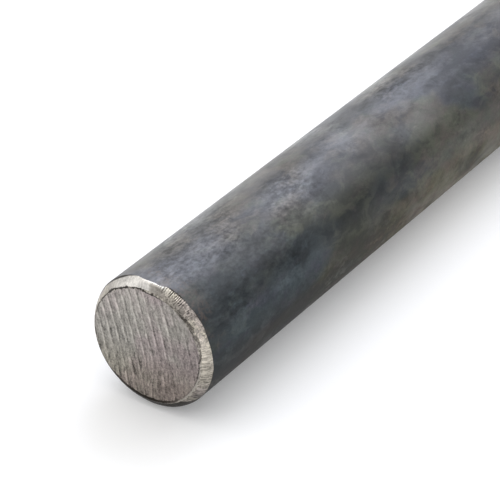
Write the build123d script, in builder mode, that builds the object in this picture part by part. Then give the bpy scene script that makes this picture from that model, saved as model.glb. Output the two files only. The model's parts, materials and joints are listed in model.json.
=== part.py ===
"""Round steel bar: one length of hot-rolled stock, sawn square and bevelled at both ends.

The bar lies on the floor along X. The origin is on the floor, under the middle of the bar.
All lengths are millimetres, with +Z up.
"""

import os

from build123d import *

# Driving dimensions
BAR_DIAMETER = 20.0  # hot-rolled round, nominal size
BAR_LENGTH = 500.0  # cut length, over the two sawn faces
BEVEL_WIDTH = 1.25  # how far each ground bevel reaches in across its sawn face
BEVEL_DEPTH = 1.4  # how far each ground bevel runs back along the bar

# The plane of the first saw cut, with its centre on the bar's axis and its normal along the bar
bar_axis_height = BAR_DIAMETER / 2
first_cut = Plane(
    origin=(-BAR_LENGTH / 2, 0, bar_axis_height), x_dir=(0, 1, 0), z_dir=(1, 0, 0)
)

with BuildPart() as round_bar:
    # The rolled shank, one solid round from saw cut to saw cut
    with BuildSketch(first_cut):
        Circle(radius=BAR_DIAMETER / 2)
    extrude(amount=BAR_LENGTH)

    # A bevel ground round the rim of both sawn faces, longer along the bar than across the face
    for sawn_face in round_bar.faces().filter_by(Axis.X):
        chamfer(
            sawn_face.edges(),
            length=BEVEL_WIDTH,
            length2=BEVEL_DEPTH,
            reference=sawn_face,
        )
round_bar.part.label = "round_bar"

os.makedirs("parts", exist_ok=True)
export_step(round_bar.part, "parts/round_bar.step")
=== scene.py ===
"""Hot-rolled round steel bar, sawn and bevelled at both ends, lying on a pale floor.

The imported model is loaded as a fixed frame, and the bar is modelled again over it as one
closed mesh with its saw marks, ground bevels, burrs and rolled surface. Lengths in the
mesh are metres. Lengths in the finishes are millimetres, because their patterns are.
"""

import json
import logging
import math
from dataclasses import dataclass
from enum import Enum

import bpy
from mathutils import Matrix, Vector


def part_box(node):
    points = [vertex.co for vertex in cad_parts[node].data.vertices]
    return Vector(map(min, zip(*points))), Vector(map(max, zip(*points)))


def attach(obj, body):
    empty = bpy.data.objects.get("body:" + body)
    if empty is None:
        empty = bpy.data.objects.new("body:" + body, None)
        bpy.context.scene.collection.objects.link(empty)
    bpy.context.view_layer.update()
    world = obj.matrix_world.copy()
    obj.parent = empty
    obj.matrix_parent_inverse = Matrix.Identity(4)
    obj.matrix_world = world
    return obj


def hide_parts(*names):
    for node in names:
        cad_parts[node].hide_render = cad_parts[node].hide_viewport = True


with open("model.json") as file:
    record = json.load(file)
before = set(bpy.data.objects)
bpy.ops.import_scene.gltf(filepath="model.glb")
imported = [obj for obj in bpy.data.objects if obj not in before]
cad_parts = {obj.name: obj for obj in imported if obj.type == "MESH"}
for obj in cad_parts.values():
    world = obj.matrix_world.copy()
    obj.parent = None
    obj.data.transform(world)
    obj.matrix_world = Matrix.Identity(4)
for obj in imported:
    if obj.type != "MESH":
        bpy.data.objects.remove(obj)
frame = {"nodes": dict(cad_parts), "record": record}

LOG = logging.getLogger("round_bar")
NODE = "round_bar"
BODY = "root"
MM = 0.001
TOUCH = 1e-6  # metres, within which two places are one


class Zone(Enum):
    """The surfaces of the bar, in the order of their material slots."""

    SCALE = 0
    SAWN = 1
    BURR = 2
    GROUND = 3


# Node trees


class Value:
    """One output of a node tree, with arithmetic that adds the Math nodes it needs."""

    def __init__(self, graph: "Graph", socket: bpy.types.NodeSocket | None) -> None:
        """Wraps a socket.

        Args:
            graph: The tree that the socket belongs to.
            socket: The output socket, or nothing for a node that ends a tree.
        """
        self.graph = graph
        self.socket = socket

    def __add__(self, other: "Number") -> "Value":
        """Sum."""
        return self.graph.math("ADD", self, other)

    def __sub__(self, other: "Number") -> "Value":
        """Difference."""
        return self.graph.math("SUBTRACT", self, other)

    def __mul__(self, other: "Number") -> "Value":
        """Product."""
        return self.graph.math("MULTIPLY", self, other)

    def __rsub__(self, other: "Number") -> "Value":
        """Difference from a number, so that 1 - mask works."""
        return self.graph.math("SUBTRACT", other, self)

    def __pow__(self, power: float) -> "Value":
        """Power."""
        return self.graph.math("POWER", self, power)

    def __abs__(self) -> "Value":
        """Size, without its sign."""
        return self.graph.math("ABSOLUTE", self)

    def ease(self, low: "Number", high: "Number") -> "Value":
        """A smooth step from 0 at low to 1 at high, or the other way round."""
        sockets = {"Value": self, "From Min": low, "From Max": high}
        return self.graph.node("ShaderNodeMapRange", {"interpolation_type": "SMOOTHSTEP"}, sockets)

    __radd__ = __add__
    __rmul__ = __mul__


Number = Value | float
Colour = tuple[float, float, float]
Point = tuple[float, float]


class Graph:
    """A node tree that is written as Python expressions."""

    def __init__(self, tree: bpy.types.NodeTree) -> None:
        """Wraps an empty node tree.

        Args:
            tree: A shader or geometry node tree.
        """
        self.tree = tree

    @classmethod
    def emptied(cls, owner: bpy.types.Material | bpy.types.World) -> "Graph":
        """Empties a new node tree.

        Args:
            owner: The material or world that has it.

        Returns:
            The tree.
        """
        owner.use_nodes = True
        owner.node_tree.nodes.clear()
        return cls(owner.node_tree)

    def node(
        self,
        kind: str,
        settings: dict[str, object] | None = None,
        sockets: dict[str | int, object] | None = None,
        output: str | int = 0,
    ) -> Value:
        """Adds one node.

        Args:
            kind: The node's type, such as ShaderNodeTexNoise.
            settings: Its own settings, set before its sockets.
            sockets: The value or link of each input, by name or number.
            output: The output that is wanted, by name or number.

        Returns:
            The wanted output.
        """
        made = self.tree.nodes.new(kind)
        for name, setting in (settings or {}).items():
            setattr(made, name, setting)
        for key, value in (sockets or {}).items():
            if isinstance(value, Value):
                self.tree.links.new(value.socket, made.inputs[key])
            else:
                made.inputs[key].default_value = value
        return Value(self, made.outputs[output] if len(made.outputs) else None)

    def math(self, operation: str, *numbers: Number) -> Value:
        """One Math node."""
        return self.node("ShaderNodeMath", {"operation": operation}, dict(enumerate(numbers)))

    def vector(self, operation: str, *values: object, output: int = 0) -> Value:
        """One Vector Math node."""
        settings = {"operation": operation}
        return self.node("ShaderNodeVectorMath", settings, dict(enumerate(values)), output)

    def combine(self, x: Number, y: Number, z: Number) -> Value:
        """Three numbers as a vector."""
        return self.node("ShaderNodeCombineXYZ", sockets={0: x, 1: y, 2: z})

    def split(self, vector: Value) -> tuple[Value, Value, Value]:
        """The three parts of a vector."""
        parts = self.node("ShaderNodeSeparateXYZ", sockets={0: vector}).socket.node.outputs
        return Value(self, parts[0]), Value(self, parts[1]), Value(self, parts[2])

    def scaled(self, vector: Value, factor: Number) -> Value:
        """A vector times a number."""
        settings = {"operation": "SCALE"}
        return self.node("ShaderNodeVectorMath", settings, {0: vector, "Scale": factor})

    def ramp(self, value: Number, low: float, high: float) -> Value:
        """A straight, clamped ramp from 0 at low to 1 at high."""
        sockets = {"Value": value, "From Min": low, "From Max": high}
        return self.node("ShaderNodeMapRange", sockets=sockets)

    def blend(self, share: Number, low: Number, high: Number) -> Value:
        """Two numbers mixed by a share."""
        return self.node("ShaderNodeMix", {"data_type": "FLOAT"}, {0: share, 2: low, 3: high})

    def tint(self, share: Number, low: object, high: object, how: str = "MIX") -> Value:
        """Two colours mixed by a share.

        Args:
            share: How much of the second colour is taken.
            low: The first colour, as a link or as red, green and blue.
            high: The second colour.
            how: The way that they are blended.

        Returns:
            The mixed colour.
        """
        settings = {"data_type": "RGBA", "blend_type": how}
        colours = [c if isinstance(c, Value) else (*c, 1) for c in (low, high)]
        return self.node("ShaderNodeMix", settings, {0: share, 6: colours[0], 7: colours[1]}, 2)

    def times(self, colour: object, by: object) -> Value:
        """A colour times another."""
        return self.tint(1, colour, by, "MULTIPLY")

    def shaded(self, colour: Value, shade: Value) -> Value:
        """A colour times a number."""
        return self.times(colour, self.combine(shade, shade, shade))

    def wave(self, turns: Value) -> Value:
        """A sine wave from 0 to 1."""
        return self.math("SINE", turns) * 0.5 + 0.5

    def bump(self, height: Value) -> Value:
        """A surface's slope, from its height in millimetres."""
        sockets = {"Strength": 1, "Distance": MM, "Height": height}
        return self.node("ShaderNodeBump", sockets=sockets)

    def principled(self, sockets: dict[str | int, object]) -> Value:
        """One Principled shader."""
        return self.node("ShaderNodeBsdfPrincipled", sockets=sockets)

    def noise(
        self,
        place: Value,
        grain: float,
        stretch: tuple[float, float, float] = (1.0, 1.0, 1.0),
        detail: float = 2.0,
        roughness: float = 0.5,
        distortion: float = 0.0,
    ) -> Value:
        """Noise from 0 to 1, about 0.5.

        Args:
            place: Where, in millimetres.
            grain: The size of one grain of the noise, in millimetres.
            stretch: How many times longer a grain is along each axis.
            detail: How many finer layers are added.
            roughness: How strong the finer layers are.
            distortion: How much the noise swirls.

        Returns:
            The noise.
        """
        scale = tuple(1.0 / (grain * s) for s in stretch)
        sockets = {
            "Vector": self.vector("MULTIPLY", place, scale),
            "Scale": 1,
            "Detail": detail,
            "Roughness": roughness,
            "Distortion": distortion,
        }
        return self.node("ShaderNodeTexNoise", sockets=sockets)


# Sizes


@dataclass(frozen=True)
class BarSizes:
    """The bar's sizes and place, in metres, as the frame gives them."""

    half_length: float
    radius: float
    axis_height: float
    face_radius: float
    bevel_depth: float

    @classmethod
    def from_frame(cls) -> "BarSizes":
        """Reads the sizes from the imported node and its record.

        Returns:
            The sizes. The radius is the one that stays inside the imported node's box.
        """
        low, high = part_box(NODE)
        half_length = (high.x - low.x) / 2
        mounts = {mount["name"]: mount for mount in frame["record"]["mounts"]}
        shank = mounts["shank"]["dims"]
        vertices = frame["nodes"][NODE].data.vertices
        axis_height = (high.z + low.z) / 2
        on_face = [v.co for v in vertices if v.co.x < low.x + TOUCH]
        return cls(
            half_length=half_length,
            radius=min(high.y - low.y, high.z - low.z) / 2,
            axis_height=axis_height,
            face_radius=max(math.hypot(c.y, c.z - axis_height) for c in on_face),
            bevel_depth=half_length - shank["length_mm"] * MM / 2,
        )


@dataclass(frozen=True)
class Dwell:
    """A place on the near bevel where the wheel stayed longer, or was pressed less."""

    angle: float  # degrees from the top, towards -Y
    spread: float  # degrees, to where it fades
    depth: float = 0.0  # extra depth of the bevel along the bar, in millimetres
    crown: float = 0.0  # extra crown across the bevel, in millimetres
    jag: float = 0.0  # extra raggedness of its edge, in millimetres


@dataclass(frozen=True)
class Arc:
    """A place round the bar where something is stronger, or below zero, weaker."""

    angle: float  # degrees from the top, towards -Y
    spread: float  # degrees, to where it fades
    amount: float

    def mask(self, space: "BarSpace") -> Value:
        """The amount in its middle, falling to 0."""
        return space.towards(self.angle, self.spread) * self.amount


@dataclass(frozen=True)
class Bloom:
    """A place on the shank where something is stronger, or below zero, weaker."""

    from_end: float  # to its middle, from the near sawn face, in millimetres
    angle: float  # to its middle, in degrees from the top, towards -Y
    length: float  # along the bar, in millimetres
    spread: float  # round the bar, in degrees
    amount: float

    def mask(self, space: "BarSpace") -> Value:
        """The amount in its middle, falling to 0."""
        along = abs(space.x + (space.half_length - self.from_end)).ease(self.length / 2, 0)
        return along * space.towards(self.angle, self.spread / 2) * self.amount


class BarSpace:
    """Places on the bar, in millimetres, as values of a node tree."""

    def __init__(self, graph: Graph, position: Value, sizes: BarSizes) -> None:
        """Works out the places.

        Args:
            graph: The tree.
            position: The position in metres, in the frame.
            sizes: The bar's sizes.
        """
        self.graph = graph
        self.half_length = sizes.half_length / MM
        self.rim = sizes.face_radius / MM
        shifted = graph.vector("SUBTRACT", position, (0, 0, sizes.axis_height))
        self.place = graph.scaled(shifted, 1.0 / MM)
        self.x, self.y, self.z = graph.split(self.place)
        self.from_end = self.half_length - abs(self.x)
        self.side = graph.math("SIGN", self.x)
        across = graph.combine(0, self.y, self.z)
        self.from_axis = graph.vector("LENGTH", across, output=1)
        self.outward = graph.vector("NORMALIZE", across)
        self.axial = graph.combine(self.side, 0, 0)
        self.near_half = (self.side * -1).ease(-0.1, 0.1)

    def noise(self, grain: float, along: float = 1.0, *layers: float, **named: float) -> Value:
        """Noise on the bar, whose grains may be longer along it: see Graph.noise."""
        return self.graph.noise(self.place, grain, (along, 1, 1), *layers, **named)

    def towards(self, angle: float, spread: float) -> Value:
        """A smooth bump round the bar.

        Args:
            angle: Where its top is, in degrees from the top of the bar towards -Y.
            spread: How far off it fades out, in degrees.

        Returns:
            1 at the angle, falling to 0.
        """
        way = (0, -math.sin(math.radians(angle)), math.cos(math.radians(angle)))
        cosine = self.graph.vector("DOT_PRODUCT", self.outward, way, output=1)
        return cosine.ease(math.cos(math.radians(spread)), 1)

    def plus(
        self, start: Number, places: tuple[Arc | Bloom, ...], share: Number | None = None
    ) -> Number:
        """A number plus what each of some places adds.

        Args:
            start: The number.
            places: The places.
            share: How much of them counts, if not all.

        Returns:
            The sum.
        """
        for place in places:
            mask = place.mask(self)
            start += mask if share is None else mask * share
        return start

    def ring(self, radius: float, apart: float) -> Value:
        """A place for noise that changes round the bar and not along it.

        Args:
            radius: The radius of the ring that the noise is read on.
            apart: How far apart the rings of the two ends lie.

        Returns:
            The place.
        """
        graph = self.graph
        on_ring = graph.scaled(self.outward, radius)
        return graph.vector("ADD", on_ring, graph.scaled(self.axial, apart))


# Relief


@dataclass(frozen=True)
class SawMarks:
    """The ridges that the saw's feed leaves across a cut face, in millimetres."""

    pitch: float = 1.3
    lean: float = 13.0  # degrees from upright
    bow: float = 0.004  # how much each mark bends, over the square of its length
    wander: float = 0.42
    jitter: float = 0.16
    depth: float = 0.026
    middle: float = 0.38  # the height that they fade to

    def along(self, space: BarSpace) -> Value:
        """The distance along the marks, in millimetres."""
        lean = math.radians(self.lean)
        return space.y * math.sin(lean) + space.z * math.cos(lean)

    def across(self, space: BarSpace) -> Value:
        """The distance across the marks.

        Args:
            space: The bar's places.

        Returns:
            The distance in millimetres, with the marks' bend and wander in it.
        """
        lean = math.radians(self.lean)
        sideways = space.y * -math.cos(lean) + space.z * math.sin(lean)
        along = self.along(space)
        drift = space.noise(4, detail=2.0) - 0.5
        jitter = space.noise(0.7, detail=1.0) - 0.5
        return sideways + along * along * self.bow + drift * self.wander + jitter * self.jitter

    def _turns(self, space: BarSpace) -> Value:
        """The distance across the marks, as an angle that grows by a full turn a ridge."""
        return self.across(space) * (2 * math.pi / self.pitch)

    def _strength(self, space: BarSpace) -> Value:
        """How strong the ridges are.

        Args:
            space: The bar's places.

        Returns:
            1 where they are whole, less where they fade.
        """
        strong = space.noise(5, detail=2.0) + space.y * 0.020
        strong = strong + space.z.ease(-6, 2) * 0.20 - 0.14
        calm = space.y.ease(0, -6) * space.z.ease(1, -4)
        strong -= calm * 0.10
        return 0.22 + strong.ease(0.36, 0.60) * 0.78

    def height(self, space: BarSpace) -> Value:
        """The ridges' height.

        Args:
            space: The bar's places.

        Returns:
            0 in the grooves to 1 on the ridges.
        """
        graph = space.graph
        turns = self._turns(space)
        ridges = graph.wave(turns) ** 3.0 * 0.85 + graph.wave(turns * 2.0 + 1.1) ** 2.0 * 0.3
        return self.middle + (ridges - self.middle) * self._strength(space)

    def lines(self, space: BarSpace) -> Value:
        """The ridges' crests and grooves, painted as bright glints and dark shade.

        Args:
            space: The bar's places.

        Returns:
            0 between them, up to 1 on a crest and down to -0.6 in a groove.
        """
        graph = space.graph
        turns = self._turns(space)
        crest = graph.wave(turns) ** 9.0
        groove = graph.wave(turns - 1.5) ** 4.0
        second = graph.wave(turns * 2.0 + 0.4) ** 6.0
        broken = space.noise(0.7, detail=2.0).ease(0.30, 0.62)
        lines = crest * (0.35 + broken * 0.9) - groove * 0.6 + second * 0.25
        return lines * self._strength(space)


@dataclass(frozen=True)
class BurrShadowLine:
    """The painted shadow of the burr: a dark, ragged line round a sawn face, across three
    finishes.
    """

    outset: float = 0.04  # how far outside the rim its middle runs, in millimetres
    width: float = 0.045  # half of its thinnest, in millimetres
    beads: float = 0.09  # how much thicker its beads are
    sway: float = 0.24
    shiver: float = 0.22
    # the colour of the painted shadow
    tone: Colour = (0.030, 0.026, 0.022)
    bends: tuple[Arc, ...] = (  # how far out it runs on the near end, in millimetres
        Arc(-46, 40, 0.10),
        Arc(8, 16, -0.20),
        Arc(62, 26, 0.24),
        Arc(116, 46, -0.28),
    )
    fades: tuple[Arc, ...] = (
        Arc(26, 14, -0.85),
        Arc(62, 34, -0.30),
        Arc(132, 34, -0.8),
        Arc(-105, 45, -0.35),
    )

    def offset(self, space: BarSpace) -> Value:
        """How far outside the line's middle a place is.

        Args:
            space: The bar's places.

        Returns:
            The distance in millimetres, below 0 inside.
        """
        graph = space.graph
        ring = space.ring(9, 20)
        line = (graph.noise(ring, 1.6, detail=1.0) - 0.5) * self.sway
        line += (graph.noise(ring, 0.32, detail=1.0) - 0.5) * self.shiver
        line = space.plus(line, self.bends, space.near_half)
        return space.from_axis - line - (space.rim + self.outset)

    def mask(self, space: BarSpace) -> Value:
        """Where the painted shadow is.

        Args:
            space: The bar's places.

        Returns:
            1 on the line, less where it fades, and 0 off it.
        """
        graph = space.graph
        ring = space.ring(9, 20)
        # Wider round the bottom, as painted shade under the bar
        under = space.towards(184, 56)
        off = abs(self.offset(space) + under * 0.22)
        bead = graph.noise(ring, 0.55, detail=1.0).ease(0.52, 0.70)
        half = bead * self.beads + self.width + under * 0.14 + space.towards(54, 30) * 0.05
        line = off.ease(half + 0.07, half)
        breaks = graph.noise(ring, 0.8, detail=2.0).ease(0.34, 0.46)
        fade = space.plus(1, self.fades)
        return line * graph.math("MAXIMUM", (breaks * 0.6 + 0.35) * fade, under)


@dataclass(frozen=True)
class BarRelief:
    """Moves the bar's vertices: rolled surface, ground bevels, burrs and saw marks."""

    sizes: BarSizes
    marks: SawMarks
    lift: float = 0.045  # how much the rolled surface rises and falls, in millimetres
    edge_wander: float = 0.16  # how much the bevel's edge wanders along the bar
    edge_jag: float = 0.09  # how ragged it is
    facet: float = 0.10  # how uneven the ground bevel is
    bevel_start: float = 0.157  # where the bevel starts, from the face
    edge_reach: float = 0.25  # how far from the edge the bevel moves with it
    seam: float = 0.02  # how far two surfaces overlap where they meet
    crown_least: float = 0.04  # how far the bevel swells in its middle, at the least
    crown_swing: float = 0.12  # how much more it may swell
    rim_fade: float = 0.3  # how far inside the face's rim the saw marks fade
    dwells: tuple[Dwell, ...] = (
        Dwell(24, 34, jag=0.20),
        Dwell(-30, 20, 0.22),
        Dwell(2, 15, -0.48, 0.13),
        Dwell(20, 10, 0.12),
        Dwell(31, 8, 0.14),
        Dwell(52, 12, 0.14),
        Dwell(76, 32, -0.20),
        Dwell(112, 42, 0.16),
        Dwell(-80, 60, 0.45),
        Dwell(176, 60, -0.30),
    )

    def tree(self) -> bpy.types.NodeTree:
        """Makes the geometry nodes.

        Returns:
            The node group, with one geometry in and one out.
        """
        group = bpy.data.node_groups.new("bar_relief", "GeometryNodeTree")
        for way in ("INPUT", "OUTPUT"):
            group.interface.new_socket("Geometry", in_out=way, socket_type="NodeSocketGeometry")
        graph = Graph(group)
        start = graph.node("NodeGroupInput")
        space = BarSpace(graph, graph.node("GeometryNodeInputPosition"), self.sizes)
        sockets = {"Geometry": start, "Offset": self._offset(space)}
        moved = graph.node("GeometryNodeSetPosition", sockets=sockets)
        graph.node("NodeGroupOutput", sockets={"Geometry": moved})
        return group

    def _offset(self, space: BarSpace) -> Value:
        """How far each vertex moves.

        Args:
            space: The bar's places.

        Returns:
            The move, as a vector in metres.
        """
        graph = space.graph
        depth = self.sizes.bevel_depth / MM
        width = (self.sizes.radius - self.sizes.face_radius) / MM
        face = space.from_end.ease(self.seam, 0)
        shank = space.from_end.ease(depth - self.seam, depth)
        bevel = (1.0 - face) * (1.0 - shank)

        # The rolled surface rises and falls gently, always inside its nominal size.
        rolled = space.noise(6, 5, detail=1.0)
        outward = (rolled - 1) * self.lift * shank

        # The bevel is ground by hand: crowned and uneven, with an edge that wanders.
        crown, shift, jag = self._grinding(space)
        across = graph.ramp(space.from_end, self.bevel_start, depth)
        hump = across * (1.0 - across) * 4.0 * bevel
        uneven = (space.noise(1.6, detail=2.0) - 0.5) * self.facet
        slant = math.hypot(depth, width)
        proud = hump * (crown + uneven)
        outward += proud * (depth / slant)
        fade = space.from_end.ease(depth * 4, depth)
        moved = shift * space.from_end.ease(self.edge_reach, depth) * fade
        moved += jag * space.from_end.ease(depth - self.edge_reach, depth) * fade
        along = proud * (width / slant) - moved

        # The saw marks go into the sawn faces, and fade just inside their rims.
        inside = space.from_axis.ease(space.rim, space.rim - self.rim_fade)
        cut = (1.0 - self.marks.height(space)) * self.marks.depth
        along -= cut * face * inside

        across = graph.scaled(space.outward, outward)
        return graph.scaled(graph.vector("ADD", across, graph.scaled(space.axial, along)), MM)

    def _grinding(self, space: BarSpace) -> tuple[Value, Value, Value]:
        """What the wheel left on the bevels.

        Args:
            space: The bar's places.

        Returns:
            How far they swell, how far their edges wander along the bar, and the edges'
            jags, each in millimetres.
        """
        graph = space.graph
        ring = space.ring(10, 25)
        crown = graph.noise(ring, 7, detail=1.0) * self.crown_swing + self.crown_least
        wander = (graph.noise(ring, 3.2, detail=1.0) - 0.5) * 2.0 * self.edge_wander
        jag = (graph.noise(ring, 0.28, roughness=0.7) - 0.5) * 2.0 * self.edge_jag
        for dwell in self.dwells:
            there = space.towards(dwell.angle, dwell.spread) * space.near_half
            crown += there * dwell.crown
            wander += there * dwell.depth
            jag *= 1.0 + there * (dwell.jag / self.edge_jag)
        return crown, wander, jag


# Finishes. In their patterns, noise takes the size of its grains in millimetres, towards
# takes degrees, ease takes the two ends of a step, and other factors are strengths.


class Finish:
    """A surface finish, made as one material."""

    name = "finish"

    def material(self, sizes: BarSizes) -> bpy.types.Material:
        """Makes the material.

        Args:
            sizes: The bar's sizes.

        Returns:
            The material, with one Principled shader.
        """
        made = bpy.data.materials.new(self.name)
        graph = Graph.emptied(made)
        where = graph.node("ShaderNodeTexCoord", output="Object")
        shader = self.surface(BarSpace(graph, where, sizes))
        graph.node("ShaderNodeOutputMaterial", sockets={"Surface": shader})
        return made

    def surface(self, space: BarSpace) -> Value:
        """Makes the shader, which each finish does in its own way.

        Args:
            space: The bar's places.

        Returns:
            The shader's output.
        """
        raise NotImplementedError


class ScalePatterns:
    """The patterns that the colour, shade and sheen of the mill scale share."""

    def __init__(self, space: BarSpace) -> None:
        """Makes the patterns.

        Args:
            space: The bar's places.
        """
        self.near = space.from_end.ease(75, 25)
        self.calm = space.towards(70, 60) * (0.15 + self.near * 0.40)
        self.quiet = 1.0 - space.towards(62, 46) * 0.45
        self.swing = 0.55 + space.from_end.ease(150, 100) * 0.45
        self.clouds = space.noise(6.5, 1.8, 7, 0.60, 0.5)
        self.broad = space.noise(17, 2.2, 3) - 0.5
        self.middling = space.noise(1.5, 1.9, 3, 0.6) - 0.5
        self.speckle = space.noise(0.62, 1.5, 4, 0.68)
        self.fine = (self.speckle.ease(0.30, 0.70) - 0.5) * self.quiet
        self.grain = space.noise(0.20, detail=1.0) - 0.5
        # Small sharp-edged clouds, in patches away from the ends
        curds = space.noise(2.6, 1.7, 6, 0.62, 0.6).ease(0.42, 0.58) - 0.5
        where = space.noise(14, 1.6, 2) + space.from_end.ease(22, 50) * 0.14
        self.curds = curds * where.ease(0.42, 0.62) * self.swing
        # Where the scale is coarse: beside the ends, and in patches elsewhere
        beside = space.from_end.ease(48, 10) * space.towards(15, 75)
        self.coarse = (space.noise(8, 1.6, 3) + beside * 0.18).ease(0.49, 0.70)


@dataclass(frozen=True)
class MillScale(Finish):
    """Blue-grey oxide scale on the rolled surface, cloudy and finely speckled."""

    name = "mill_scale"
    specular: float = 0.24
    glaze_roughness: float = 0.34
    slate: Colour = (0.0100, 0.0112, 0.0122)
    cloud: Colour = (0.052, 0.053, 0.052)
    bluish: Colour = (0.80, 1.00, 1.29)
    olive: Colour = (1.14, 1.05, 0.78)
    heated: Colour = (0.066, 0.048, 0.040)
    greenish: Colour = (0.92, 1.065, 0.97)
    violet: Colour = (1.06, 0.94, 1.055)
    # the tint of the painted floor reflection on the underside
    floor_reflection_tint: Colour = (1.16, 0.985, 0.74)
    tinted: tuple[Bloom, ...] = (
        Bloom(16, 56, 46, 60, -0.14), Bloom(68, 6, 34, 40, -0.12),
        Bloom(4, -4, 20, 40, -0.10), Bloom(64, 52, 26, 36, 0.14),
        Bloom(60, 104, 100, 52, 0.48), Bloom(8, 112, 60, 44, 0.14),
        Bloom(28, 34, 12, 30, 0.12), Bloom(18, 80, 46, 36, -0.20),
        Bloom(1, 34, 14, 30, 0.20), Bloom(51, 10, 14, 30, -0.10),
        Bloom(40, 80, 30, 40, 0.14),
    )
    dulled: tuple[Bloom, ...] = (
        Bloom(82, 12, 50, 76, -0.35), Bloom(15, 4, 11, 60, -0.12),
        Bloom(1, 4, 10, 44, 0.34), Bloom(50, 6, 14, 36, 0.18),
        Bloom(32, 4, 12, 34, -0.16), Bloom(56, 18, 14, 26, -0.20),
        Bloom(34, 44, 18, 30, 0.20), Bloom(60, 38, 15, 28, 0.60),
        Bloom(70, 101, 16, 30, -0.36),
    )
    # Paler and darker places. The short ones are the scale's own clouds. The long ones low on the
    # flank and underside are painted light and shade, with painted floor bounce that pales the
    # underside further along.
    patches_and_painted_light: tuple[Bloom, ...] = (
        Bloom(54, 9, 30, 40, 0.30), Bloom(66, 40, 22, 50, 0.42),
        Bloom(27, 32, 15, 44, 0.44), Bloom(17, 8, 26, 56, 0.22),
        Bloom(64, 76, 56, 46, 0.54), Bloom(18, 82, 70, 38, 0.60),
        Bloom(70, 99, 14, 34, -0.36), Bloom(80, 46, 16, 40, 0.30),
        Bloom(18, -12, 16, 36, -0.20), Bloom(20, 56, 84, 44, -0.12),
        Bloom(12, 94, 60, 50, -0.16), Bloom(86, 118, 110, 80, 0.50),
        Bloom(10, 108, 60, 60, -0.40), Bloom(61, 36, 12, 26, 0.45),
        Bloom(71, 33, 12, 26, -0.30), Bloom(34, 46, 26, 24, 0.32),
        Bloom(14, 12, 8, 60, -0.16), Bloom(1, 0, 12, 40, 0.55),
        Bloom(22, -10, 14, 30, 0.40),
    )

    def surface(self, space: BarSpace) -> Value:
        """Makes the shader.

        Args:
            space: The bar's places.

        Returns:
            The shader's output.
        """
        graph = space.graph
        patterns = ScalePatterns(space)
        tone = self._tone(space, patterns)
        colour = self._colour(space, patterns, tone)
        colour = graph.shaded(colour, self._shade(space, patterns))
        colour = graph.tint(self._heat(space), colour, self.heated)
        dusty = space.towards(110, 50) * (0.12 + patterns.near * 0.08)
        sockets = {
            "Base Color": colour,
            "Roughness": graph.blend(tone, 0.38, 0.50) + dusty,
            "Specular IOR Level": self.specular,
            "Coat Weight": graph.math("MAXIMUM", self._glaze(space, patterns), 0),
            "Coat Roughness": self.glaze_roughness,
            "Normal": graph.bump(patterns.speckle * 0.02 + patterns.clouds * 0.08),
        }
        return graph.principled(sockets)

    def _tone(self, space: BarSpace, patterns: ScalePatterns) -> Value:
        """How pale the scale is, with painted shade and painted floor bounce on its underside.

        Args:
            space: The bar's places.
            patterns: The scale's patterns.

        Returns:
            0 for the slate to 1 for the cloud.
        """
        tone = (patterns.clouds - 0.5) * 0.62 + patterns.broad * 0.3 + patterns.middling * 0.24
        tone = 0.5 + tone * patterns.swing
        # The clouds, with painted light and shade and painted floor bounce low on the bar
        tone = space.plus(tone, self.patches_and_painted_light, 0.15 + patterns.clouds)
        tone = tone + patterns.curds * 0.12 + (0.40 - tone) * patterns.calm
        return tone.ease(0.30, 0.78)

    def _colour(self, space: BarSpace, patterns: ScalePatterns, tone: Value) -> Value:
        """The scale's colour, before it is shaded.

        Args:
            space: The bar's places.
            patterns: The scale's patterns.
            tone: How pale it is.

        Returns:
            The colour.
        """
        graph = space.graph
        hue = space.noise(10, 2, 4) + (tone - 0.5) * 0.22
        hue = 0.47 + (hue - 0.47) * patterns.swing
        hue = space.plus(hue, self.tinted)
        colour = graph.tint(tone, self.slate, self.cloud)
        tinge = graph.tint(hue.ease(0.36, 0.62), self.bluish, self.olive)
        cast = space.noise(2.6, 1.6, 5, 0.65, 0.4)
        # Violet on top, a painted tint of the highlight there, and greener on the flank.
        cast += space.towards(60, 50) * (patterns.near * 0.09 + 0.02)
        cast -= space.towards(2, 36) * 0.12
        cast = graph.tint(cast.ease(0.38, 0.62), self.violet, self.greenish)
        colour = graph.times(graph.times(colour, tinge), cast)
        # Warmer towards the bottom, as a painted reflection of the floor.
        below = space.towards(116, 44) + space.towards(106, 34) * (0.7 - patterns.near)
        return graph.tint(below, colour, graph.times(colour, self.floor_reflection_tint))

    def _shade(self, space: BarSpace, patterns: ScalePatterns) -> Value:
        """How the finer patterns darken and lighten the scale.

        Args:
            space: The bar's places.
            patterns: The scale's patterns.

        Returns:
            What the colour is multiplied by, about 1.
        """
        coarse, middling = patterns.coarse, patterns.middling * patterns.quiet
        flecks = space.graph.noise(space.place, 0.85, (2.2, 0.8, 0.8), 2, 0.6)
        shade = 1.0 + patterns.fine * (0.30 + coarse * 0.7) + middling * (0.45 + coarse * 0.45)
        shade = shade + patterns.curds * (0.26 - patterns.calm * 0.3) + patterns.grain * 0.6
        return shade + flecks.ease(0.56, 0.72) * (0.15 + coarse * 0.5)

    def _glaze(self, space: BarSpace, patterns: ScalePatterns) -> Value:
        """How strong the sheen is.

        Args:
            space: The bar's places.
            patterns: The scale's patterns.

        Returns:
            The weight of the coat, which may fall below 0.
        """
        coarse, middling = patterns.coarse, patterns.middling * patterns.quiet
        sheen = space.noise(4.6, 1.8, 6, 0.60, 0.4).ease(0.34, 0.66) - 0.5
        glaze = sheen * patterns.quiet * 0.40 + 0.49 + patterns.broad * 0.4
        glaze = glaze + patterns.fine * (0.05 + coarse * 0.38) + middling * (0.34 + coarse * 0.8)
        glaze = glaze + patterns.curds * 0.11 + patterns.grain * 0.10
        glaze = space.plus(glaze, self.dulled)
        return glaze - space.towards(104, 60) * (0.12 + patterns.near * 0.38)

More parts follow.
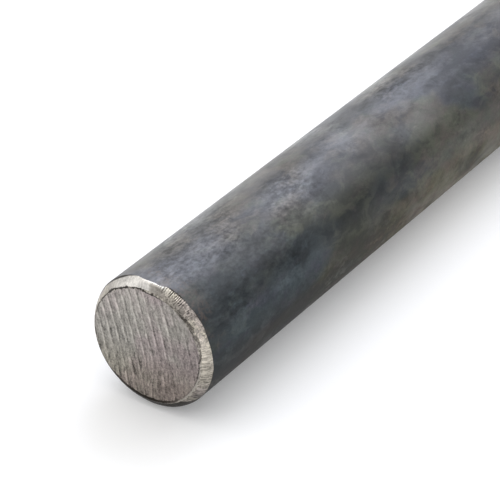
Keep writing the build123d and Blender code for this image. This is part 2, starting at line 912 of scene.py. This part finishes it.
    def _heat(self, space: BarSpace) -> Value:
        """The brown specks beside the bevels, where the grinding heated the scale.

        Args:
            space: The bar's places.

        Returns:
            How brown it is there, from 0.
        """
        specks = space.noise(0.55, detail=3.0, roughness=0.65)
        near = space.from_end.ease(6.5, 1.8)
        where = space.noise(3.5, detail=1.0)
        patch = (where + space.towards(32, 28) * 0.34).ease(0.56, 0.72)
        return specks.ease(0.46, 0.60) * near * patch * 0.85


@dataclass(frozen=True)
class SawnSteel(Finish):
    """Bare steel on the sawn faces, with the saw's feed ridges and finer tooth lines."""

    marks: SawMarks
    name = "sawn_steel"
    steel: Colour = (0.352, 0.334, 0.302)
    flushed: Colour = (0.366, 0.316, 0.306)
    browned: Colour = (1.02, 1.0, 0.93)
    ground: Colour = (0.37, 0.345, 0.31)

    def surface(self, space: BarSpace) -> Value:
        """Makes the shader.

        Args:
            space: The bar's places.

        Returns:
            The shader's output.
        """
        graph = space.graph
        across, along = self.marks.across(space), self.marks.along(space)
        threads = graph.combine(across, along * 0.24, space.side * 3)
        tooth = graph.noise(threads, 0.36, detail=4.0, roughness=0.75)
        grit = space.noise(0.24, detail=2.0)
        weave = graph.noise(space.place, 1.1, (0.5, 0.5, 1.6), detail=3.0, roughness=0.6)
        upright = graph.noise(space.place, 0.26, (1, 1, 5), detail=2.0, roughness=0.6)
        patch = space.noise(5.5, detail=4.0) - space.y * 0.016 - space.z * 0.010
        patch = patch.ease(0.36, 0.66)
        low = space.z.ease(0.5, -6)
        right = space.y.ease(-2, -8)
        colour = graph.tint(patch, self.steel, self.flushed)
        colour = graph.tint(low, colour, graph.times(colour, self.browned))
        # The saw marks, with painted glints on their crests and painted shade in their grooves.
        shade = 0.75 + self.marks.lines(space) * (0.45 - right * 0.12)
        shade += (tooth - 0.5) * (1.7 - low * 0.5 - right * 0.55)
        shade = shade + (grit - 0.5) * 1.1 + (weave - 0.5) * 0.6
        shade += (upright - 0.5) * (0.3 + low * 0.8)
        # Painted light: the face is lighter towards its top and its left.
        shade = shade + space.z * 0.016 + space.y * 0.005
        colour = graph.shaded(colour, shade)
        line = BurrShadowLine()
        outside = line.offset(space).ease(0, 0.08)
        colour = graph.tint(outside, colour, self.ground)
        # The burr's painted shadow
        colour = graph.tint(line.mask(space), colour, line.tone)
        height = tooth * 0.03 + grit * 0.01 + self.marks.lines(space) * 0.012
        sockets = {
            "Base Color": colour,
            "Metallic": 1,
            "Roughness": graph.blend(tooth, 0.52, 0.40),
            "Normal": graph.bump(height),
        }
        return graph.principled(sockets)


@dataclass(frozen=True)
class GroundSteel(Finish):
    """Bright steel on the bevels, with the wheel's fine lines across it.

    On the near end the wheel left the metal torn and mottled on one side, with short teeth
    along its edge. Round the bottom the bevel is painted dark, as painted shadow, and all
    round it is painted lighter and darker by angle, as painted highlights and shade.
    """

    name = "ground_steel"
    pale: Colour = (0.77, 0.74, 0.695)
    creamy: Colour = (0.70, 0.645, 0.545)
    rosy: Colour = (0.60, 0.535, 0.49)
    torn: Colour = (0.34, 0.310, 0.275)
    sawn: Colour = (0.44, 0.40, 0.37)
    painted_underside_shadow: Colour = (0.035, 0.030, 0.025)
    teeth: int = 190  # cuts of the wheel's grit all round
    # Painted highlights and shade round the bevel, by where it faces the lights and the floor.
    painted_light_and_shade: tuple[Arc, ...] = (  # how much lighter it is
        Arc(147, 34, -0.60),
        Arc(106, 26, -0.32),
        Arc(-60, 44, -0.36),
        Arc(60, 15, 0.26),
        Arc(104, 12, -0.16),
    )
    painted_light_on_outer_half: tuple[Arc, ...] = (  # the same, on its outer half
        Arc(5, 14, 0.20),
        Arc(21, 8, -0.16),
        Arc(69, 18, -0.16),
        Arc(-22, 14, -0.16),
    )

    def surface(self, space: BarSpace) -> Value:
        """Makes the shader.

        Args:
            space: The bar's places.

        Returns:
            The shader's output.
        """
        graph = space.graph
        ring = graph.scaled(space.outward, 10)
        drift = graph.combine(space.side * 4, space.from_end * 0.16, 0)
        drawn = graph.vector("ADD", ring, drift)
        lines = graph.noise(drawn, 0.27, detail=3.0, roughness=0.65)
        patch = space.noise(2.2, detail=3.0)
        grit = space.noise(0.25, detail=2.0)
        mottle = space.noise(0.42, detail=3.0, roughness=0.65, distortion=0.8)
        mottle = mottle.ease(0.32, 0.68)
        mottled = space.towards(42, 42)
        clean = space.towards(-18, 60)
        cuts = self._cuts(space)
        shade = 0.90 + (lines.ease(0.3, 0.7) - 0.5) * (0.55 - clean * 0.34 - mottled * 0.3)
        shade = shade + (patch - 0.5) * (0.45 - clean * 0.2) + (grit - 0.5) * 0.4
        shade += (mottle - 0.5) * (0.22 + mottled * 0.75)
        # Painted highlights and shade by angle
        shade = space.plus(shade, self.painted_light_and_shade)
        shade = space.plus(shade, self.painted_light_on_outer_half, space.from_end.ease(0.45, 0.95)) + cuts
        veins = space.noise(0.75, detail=2.0, roughness=0.6, distortion=1.4)
        vein = abs(veins - 0.5).ease(0.035, 0)
        shade -= vein * space.towards(46, 36) * 0.45
        colour = graph.tint(patch.ease(0.4, 0.62), self.rosy, self.creamy)
        # Creamier at the side, a painted reflection of the floor, and paler on top, a painted
        # highlight.
        colour = graph.tint(space.towards(86, 26) * 0.8, colour, self.creamy)
        colour = graph.tint(space.towards(-14, 40), colour, self.pale)
        ragged = (graph.noise(drawn, 0.5, detail=3.0, roughness=0.7) - 0.5) * 0.9
        inner = (space.from_end + ragged).ease(0.95, 0.50)
        where = space.towards(20, 22) + space.towards(42, 30) * 0.25 + (patch - 0.5) * 0.4
        colour = graph.tint(inner * where.ease(0.08, 0.60) * 0.85, colour, self.torn)
        colour = graph.shaded(colour, shade)
        line = BurrShadowLine()
        inside = line.offset(space).ease(0, -0.08)
        colour = graph.tint(inside, colour, self.sawn)
        # Painted shadow on the bevel round the bottom, where it faces the floor.
        lower = space.from_end + space.towards(178, 56) * 1.9 + (patch - 0.5) * 0.3
        colour = graph.tint(lower.ease(1.34, 1.50), colour, self.painted_underside_shadow)
        # The burr's painted shadow
        colour = graph.tint(line.mask(space), colour, line.tone)
        height = lines * 0.03 + grit * 0.01 + cuts * 0.04 + mottle * mottled * 0.03
        sockets = {
            "Base Color": colour,
            "Metallic": 1,
            "Roughness": graph.blend(lines, 0.5, 0.38),
            "Normal": graph.bump(height),
        }
        return graph.principled(sockets)

    def _cuts(self, space: BarSpace) -> Value:
        """The short teeth along the bevel's edge.

        Args:
            space: The bar's places.

        Returns:
            Above 0 on the teeth, below it between them, and 0 away from the edge.
        """
        graph = space.graph
        ring = graph.scaled(space.outward, 10)
        turn = graph.math("ARCTAN2", space.y, space.z) * float(self.teeth)
        drift = graph.noise(ring, 1.2, detail=2.0) * 12.0
        teeth = (graph.math("SINE", turn + drift) * 0.5 + 0.5).ease(0.2, 0.9) - 0.5
        ends = (graph.noise(ring, 0.5, detail=1.0) - 0.5) * 0.5
        outer = (space.from_end + ends).ease(0.58, 0.80)
        strong = graph.noise(ring, 0.9, detail=1.0).ease(0.25, 0.55)
        return teeth * outer * (0.05 + strong * space.towards(19, 22) * 1.05)


@dataclass(frozen=True)
class BurrSteel(Finish):
    """The bent-over edge between a sawn face and its bevel, with the burr's painted shadow on it.
    """

    name = "burr_steel"
    # the colour of the burr's painted shadow
    dark: Colour = (0.026, 0.022, 0.019)
    dull: Colour = (0.16, 0.145, 0.125)
    bright: Colour = (0.52, 0.48, 0.42)

    def surface(self, space: BarSpace) -> Value:
        """Makes the shader.

        Args:
            space: The bar's places.

        Returns:
            The shader's output.
        """
        graph = space.graph
        bits = space.noise(0.4, detail=3.0, roughness=0.65)
        colour = graph.tint(bits.ease(0.38, 0.62), self.dull, self.bright)
        # The burr's painted shadow
        colour = graph.tint(BurrShadowLine().mask(space), colour, self.dark)
        return graph.principled({"Base Color": colour, "Metallic": 0.8, "Roughness": 0.5})


# The bar


@dataclass(frozen=True)
class FlatLayout:
    """The bar's surfaces side by side in a square, each at an even scale, to bake them.

    The shank is cut along its bottom and into four lengths, in two rows of two. A strip for
    each bevel and a disc for each sawn face lie above them.
    """

    sizes: BarSizes
    side: float = 1024.0  # the square, in texels
    gap: float = 6.0
    strip: float = 30.0  # how wide the strip of a bevel is

    @property
    def length_width(self) -> float:
        """How long one length of the shank is, in texels."""
        return (self.side - 3 * self.gap) / 2

    @property
    def length_height(self) -> float:
        """How far it is round the shank, in texels."""
        return self.length_width * 4 * math.pi * self.sizes.radius / self.sizes.half_length

    @property
    def strips_start(self) -> float:
        """Where the strips start, above the lengths."""
        return 3 * self.gap + 2 * self.length_height

    @property
    def disc_radius(self) -> float:
        """The radius of a disc, which fills what is left above the strips."""
        return (self.side - self.strips_start - 2 * self.strip - 3 * self.gap) / 2

    def apply(self, piece: bpy.types.Object) -> None:
        """Adds the layout to the bar, as the map that its finishes are baked to.

        Args:
            piece: The bar, before its relief, with its materials.
        """
        mesh = piece.data
        places = [0.0] * (2 * len(mesh.loops))
        for face in mesh.polygons:
            middle = self._turn(face.center)
            for corner in face.loop_indices:
                point = mesh.vertices[mesh.loops[corner].vertex_index].co
                turn = self._turn(point)
                turn += round(middle - turn)
                place = self._place(Zone(face.material_index), face.center, point, turn)
                places[2 * corner] = place[0] / self.side
                places[2 * corner + 1] = place[1] / self.side
        mesh.uv_layers.new(name="OFBake").data.foreach_set("uv", places)

    def _turn(self, point: Vector) -> float:
        """How far round the bar a point is, from -0.5 to 0.5, with the cut at the bottom."""
        return math.atan2(point.y, point.z - self.sizes.axis_height) / (2 * math.pi)

    def _place(self, zone: Zone, centre: Vector, point: Vector, turn: float) -> Point:
        """Where one corner of a face goes.

        Args:
            zone: The face's surface.
            centre: The face's centre.
            point: The corner.
            turn: How far round the bar the corner is, in turns.

        Returns:
            The corner's place in the square, in texels. No face is mirrored there.
        """
        sizes = self.sizes
        end = int(centre.x > 0)
        way = math.copysign(1, centre.x)
        if zone is Zone.SAWN:
            scale = way * self.disc_radius / sizes.face_radius
            across = self.gap + self.disc_radius + end * (2 * self.disc_radius + self.gap)
            up = self.side - self.gap - self.disc_radius
            rise = (point.z - sizes.axis_height) * abs(scale)
            return across + point.y * scale, up + rise
        if zone is Zone.SCALE:
            quarter = sizes.half_length / 2
            along = (centre.x + sizes.half_length) // quarter
            column, row = along % 2, along // 2
            on_length = (point.x + sizes.half_length) / quarter - along
            across = self.gap + column * (self.length_width + self.gap)
            up = self.gap + row * (self.length_height + self.gap)
            return (
                across + on_length * self.length_width,
                up + (turn + 0.5) * self.length_height,
            )
        from_axis = math.hypot(point.y, point.z - sizes.axis_height)
        reach = (from_axis - sizes.face_radius) / (sizes.radius - sizes.face_radius)
        up = self.strips_start + end * (self.strip + self.gap)
        across = self.gap + (0.5 + way * turn) * (self.side - 2 * self.gap)
        return across, up + reach * self.strip


@dataclass
class RoundBar:
    """The bar as one closed mesh, drawn ring by ring from the near face to the far one."""

    sizes: BarSizes
    marks: SawMarks = SawMarks()
    segments: int = 448
    burr_width: float = 0.14 * MM
    burr_depth: float = 0.05 * MM
    burr_profile: tuple[Point, ...] = ((0.3, 1), (0.7, 1), (1, 0))  # in widths and depths
    bevel_rings: int = 9
    first_step: float = 0.1 * MM
    step_growth: float = 1.15
    longest_step: float = 8.0 * MM
    room: float = 1.5  # how many steps must lie ahead for one more ring
    rim_rings: int = 5
    rim_step: float = 0.12 * MM
    crease: float = 28.0  # degrees, past which an edge stays sharp
    flat: float = 0.005 * MM

    def build(self) -> bpy.types.Object:
        """Models the bar.

        Returns:
            The finished object, at the origin, with its place in its mesh.
        """
        bpy.ops.object.select_all(action="DESELECT")
        self._add_face()
        self._draw_bands()
        bpy.ops.mesh.fill_grid(span=self.segments // 4)
        bpy.ops.mesh.select_all(action="SELECT")
        bpy.ops.mesh.normals_make_consistent(inside=False)
        bpy.ops.object.mode_set(mode="OBJECT")
        bpy.ops.object.transform_apply(location=True, rotation=True, scale=True)
        piece = bpy.context.object
        piece.name = piece.data.name = "round_bar_steel"
        self._dress(piece)
        FlatLayout(self.sizes).apply(piece)
        self._roughen(piece)
        bpy.ops.object.shade_smooth_by_angle(angle=math.radians(self.crease))
        return piece

    def _add_face(self) -> None:
        """Adds the near sawn face: a circle, rings inside its rim, and a grid in its middle."""
        sizes = self.sizes
        centre = (-sizes.half_length, 0, sizes.axis_height)
        bpy.ops.mesh.primitive_circle_add(
            vertices=self.segments,
            radius=sizes.face_radius,
            fill_type="NOTHING",
            enter_editmode=True,
            location=centre,
            rotation=(0, -math.pi / 2, 0),
        )
        bpy.ops.mesh.select_mode(type="EDGE")
        bpy.ops.mesh.select_all(action="SELECT")
        for _ in range(self.rim_rings):
            self._ring(0, -self.rim_step, sizes.face_radius)
        bpy.ops.mesh.fill_grid(span=self.segments // 4)
        bpy.ops.mesh.select_all(action="DESELECT")
        bpy.ops.mesh.select_non_manifold(extend=False)

    def _ring(self, along: float, outward: float, radius: float) -> None:
        """Extrudes the selected ring to the next one.

        Args:
            along: How far along the bar it moves.
            outward: How much its radius grows.
            radius: Its radius before.
        """
        move = {"value": (along, 0, 0)}
        bpy.ops.mesh.extrude_edges_move(TRANSFORM_OT_translate=move)
        if outward:
            scale = (radius + outward) / radius
            centre = (0, 0, self.sizes.axis_height)
            bpy.ops.transform.resize(value=(1, scale, scale), center_override=centre)

    def _end_rings(self) -> list[Point]:
        """The rings of one end.

        Returns:
            Each ring's distance from the sawn face and its radius, from the face's rim to
            the edge of the bevel.
        """
        sizes = self.sizes
        steepness = sizes.bevel_depth / (sizes.radius - sizes.face_radius)
        rings = [(0, sizes.face_radius)]
        for share, sunk in self.burr_profile:
            out = self.burr_width * share
            along = out * steepness + self.burr_depth * sunk
            rings.append((along, sizes.face_radius + out))
        inner = sizes.face_radius + self.burr_width
        for k in range(1, self.bevel_rings + 1):
            radius = inner + (sizes.radius - inner) * k / self.bevel_rings
            rings.append(((radius - sizes.face_radius) * steepness, radius))
        return rings

    def _shank_stations(self) -> list[float]:
        """The rings between the bevel and the bar's middle.

        Returns:
            Their distances from the sawn face, close together at the end only. One of them
            is a quarter of the bar, where the flat layout is cut.
        """
        stations = []
        place, step = self.sizes.bevel_depth, self.first_step
        quarter = self.sizes.half_length / 2
        while place + self.room * step < self.sizes.half_length:
            place = quarter if place < quarter < place + self.room * step else place + step
            stations.append(place)
            step = min(step * self.step_growth, self.longest_step)
        return stations

    def _draw_bands(self) -> None:
        """Extrudes the rim of the near face, ring by ring, to the rim of the far face."""
        sizes = self.sizes
        ends = self._end_rings()
        half = ends + [(place, sizes.radius) for place in self._shank_stations()]
        length = 2 * sizes.half_length
        whole = half + [(sizes.half_length, sizes.radius)]
        whole += [(length - place, radius) for place, radius in reversed(half)]
        for (place, radius), (then, wider) in zip(whole, whole[1:], strict=False):
            self._ring(then - place, wider - radius, radius)
        for _ in range(self.rim_rings):
            self._ring(0, -self.rim_step, sizes.face_radius)

    def _zone(self, centre: Vector) -> Zone:
        """The surface that a face of the mesh belongs to.

        Args:
            centre: The face's centre, before the relief is made.

        Returns:
            The zone.
        """
        sizes = self.sizes
        from_end = sizes.half_length - abs(centre.x)
        from_axis = math.hypot(centre.y, centre.z - sizes.axis_height)
        if from_end < self.flat:
            return Zone.SAWN
        if from_axis < sizes.face_radius + self.burr_width and from_end < sizes.bevel_depth:
            return Zone.BURR
        return Zone.GROUND if from_end < sizes.bevel_depth else Zone.SCALE

    def _dress(self, piece: bpy.types.Object) -> None:
        """Gives the bar its finishes, one slot for each zone.

        Args:
            piece: The bar.
        """
        finishes = {
            Zone.SCALE: MillScale(),
            Zone.SAWN: SawnSteel(self.marks),
            Zone.BURR: BurrSteel(),
            Zone.GROUND: GroundSteel(),
        }
        for zone in Zone:
            piece.data.materials.append(finishes[zone].material(self.sizes))
        for face in piece.data.polygons:
            face.material_index = self._zone(face.center).value

    def _roughen(self, piece: bpy.types.Object) -> None:
        """Applies the relief.

        Args:
            piece: The bar, which is the active object.
        """
        bpy.ops.object.modifier_add(type="NODES")
        modifier = piece.modifiers[-1]
        modifier.node_group = BarRelief(self.sizes, self.marks).tree()
        bpy.ops.object.modifier_apply(modifier=modifier.name)


# The studio


@dataclass(frozen=True)
class Softbox:
    """A large soft light that faces the bar."""

    name: str
    place: tuple[float, float, float]
    width: float
    height: float
    watts: float
    colour: Colour

    def hang(self, aim: Vector) -> None:
        """Adds the light.

        Args:
            aim: The point that it faces.
        """
        lamp = bpy.data.lights.new(self.name, "AREA")
        lamp.shape = "RECTANGLE"
        lamp.size, lamp.size_y = self.width, self.height
        lamp.energy = self.watts
        lamp.color = self.colour
        hung = bpy.data.objects.new(self.name, lamp)
        hung.location = self.place
        hung.rotation_mode = "QUATERNION"
        hung.rotation_quaternion = (aim - Vector(self.place)).to_track_quat("-Z", "Y")
        hung.visible_camera = False
        bpy.context.scene.collection.objects.link(hung)


@dataclass(frozen=True)
class Studio:
    """The pale floor, soft lights and a white dome that is brightest behind on the left."""

    aim: tuple[float, float, float] = (-0.25, 0.0, 0.0)  # what the softboxes face
    floor_size: float = 12.0
    floor_tone: Colour = (0.84, 0.84, 0.84)
    floor_glow: float = 0.22
    dome_dim: float = 0.42
    dome_bright: float = 1.56
    dome_side: tuple[float, float, float] = (0.30, 0.55, 0.78)
    dome_start: float = -0.2  # the cosine off that side where it starts to brighten
    dome_end: float = 0.8  # and where it is brightest
    softboxes: tuple[Softbox, ...] = (
        Softbox("softbox", (0.90, 0.37, 1.10), 0.90, 0.8, 8.2, (0.82, 0.86, 1)),
        Softbox("fill_light", (1.00, -0.42, 1.10), 0.95, 0.8, 3.2, (0.84, 0.88, 1)),
    )

    def build(self) -> None:
        """Lays the floor, hangs the lights and sets the dome."""
        self._lay_floor()
        for softbox in self.softboxes:
            softbox.hang(Vector(self.aim))
        world = bpy.data.worlds.new("studio_dome")
        graph = Graph.emptied(world)
        way = graph.node("ShaderNodeTexCoord", output="Generated")
        facing = graph.vector("DOT_PRODUCT", way, self.dome_side, output=1)
        share = facing.ease(self.dome_start, self.dome_end)
        glow = graph.blend(share, self.dome_dim, self.dome_bright)
        dome = graph.node("ShaderNodeBackground", sockets={"Strength": glow})
        graph.node("ShaderNodeOutputWorld", sockets={"Surface": dome})
        bpy.context.scene.world = world
        bpy.context.scene.view_settings.view_transform = "Standard"

    def _lay_floor(self) -> None:
        """Adds the floor: matt paint on a panel that glows a little, to soften shadows."""
        bpy.ops.object.select_all(action="DESELECT")
        bpy.ops.mesh.primitive_plane_add(size=self.floor_size, location=(0, 0, 0))
        floor = bpy.context.object
        floor.name = "studio_floor"
        paint = bpy.data.materials.new("floor_paint")
        graph = Graph.emptied(paint)
        matt = graph.node("ShaderNodeBsdfDiffuse", sockets={"Color": (*self.floor_tone, 1)})
        glow = graph.node("ShaderNodeEmission", sockets={"Strength": self.floor_glow})
        both = graph.node("ShaderNodeAddShader", sockets={0: matt, 1: glow})
        graph.node("ShaderNodeOutputMaterial", sockets={"Surface": both})
        floor.data.materials.append(paint)


@dataclass(frozen=True)
class ViewCamera:
    """The camera, which looks down along the bar from beyond its near end."""

    azimuth: float = -55.986  # degrees: 0 looks along +Y, and 90 along -X
    elevation: float = 32.126
    distance: float = 0.34865
    lens: float = 186.42
    nearest: float = 0.01  # the nearest distance that it sees
    aim: tuple[float, float, float] = (0.01346, -0.00765, 0.01096)

    def build(self, sizes: BarSizes) -> None:
        """Adds the camera and makes it the scene's own.

        Args:
            sizes: The bar's sizes. The aim is measured from the near face's centre.
        """
        turn, lift = math.radians(self.azimuth), math.radians(self.elevation)
        level = math.cos(lift)
        back = Vector((math.sin(turn) * level, -math.cos(turn) * level, math.sin(lift)))
        centre = Vector((-sizes.half_length, 0, sizes.axis_height))
        camera = bpy.data.objects.new("camera", bpy.data.cameras.new("camera"))
        camera.data.lens = self.lens
        camera.data.clip_start = self.nearest
        camera.location = centre + Vector(self.aim) + back * self.distance
        camera.rotation_mode = "QUATERNION"
        camera.rotation_quaternion = (-back).to_track_quat("-Z", "Y")
        bpy.context.scene.collection.objects.link(camera)
        bpy.context.scene.camera = camera


def main() -> None:
    """Builds the bar, the studio and the camera, and reports each."""
    logging.basicConfig(level=logging.INFO, format="%(name)s: %(message)s")
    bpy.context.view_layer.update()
    sizes = BarSizes.from_frame()
    bar = RoundBar(sizes).build()
    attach(bar, BODY)
    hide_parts(NODE)
    LOG.info("%s: %d faces", bar.name, len(bar.data.polygons))
    Studio().build()
    LOG.info("studio built")
    ViewCamera().build(sizes)
    LOG.info("camera placed")


if __name__ == "__main__":
    main()
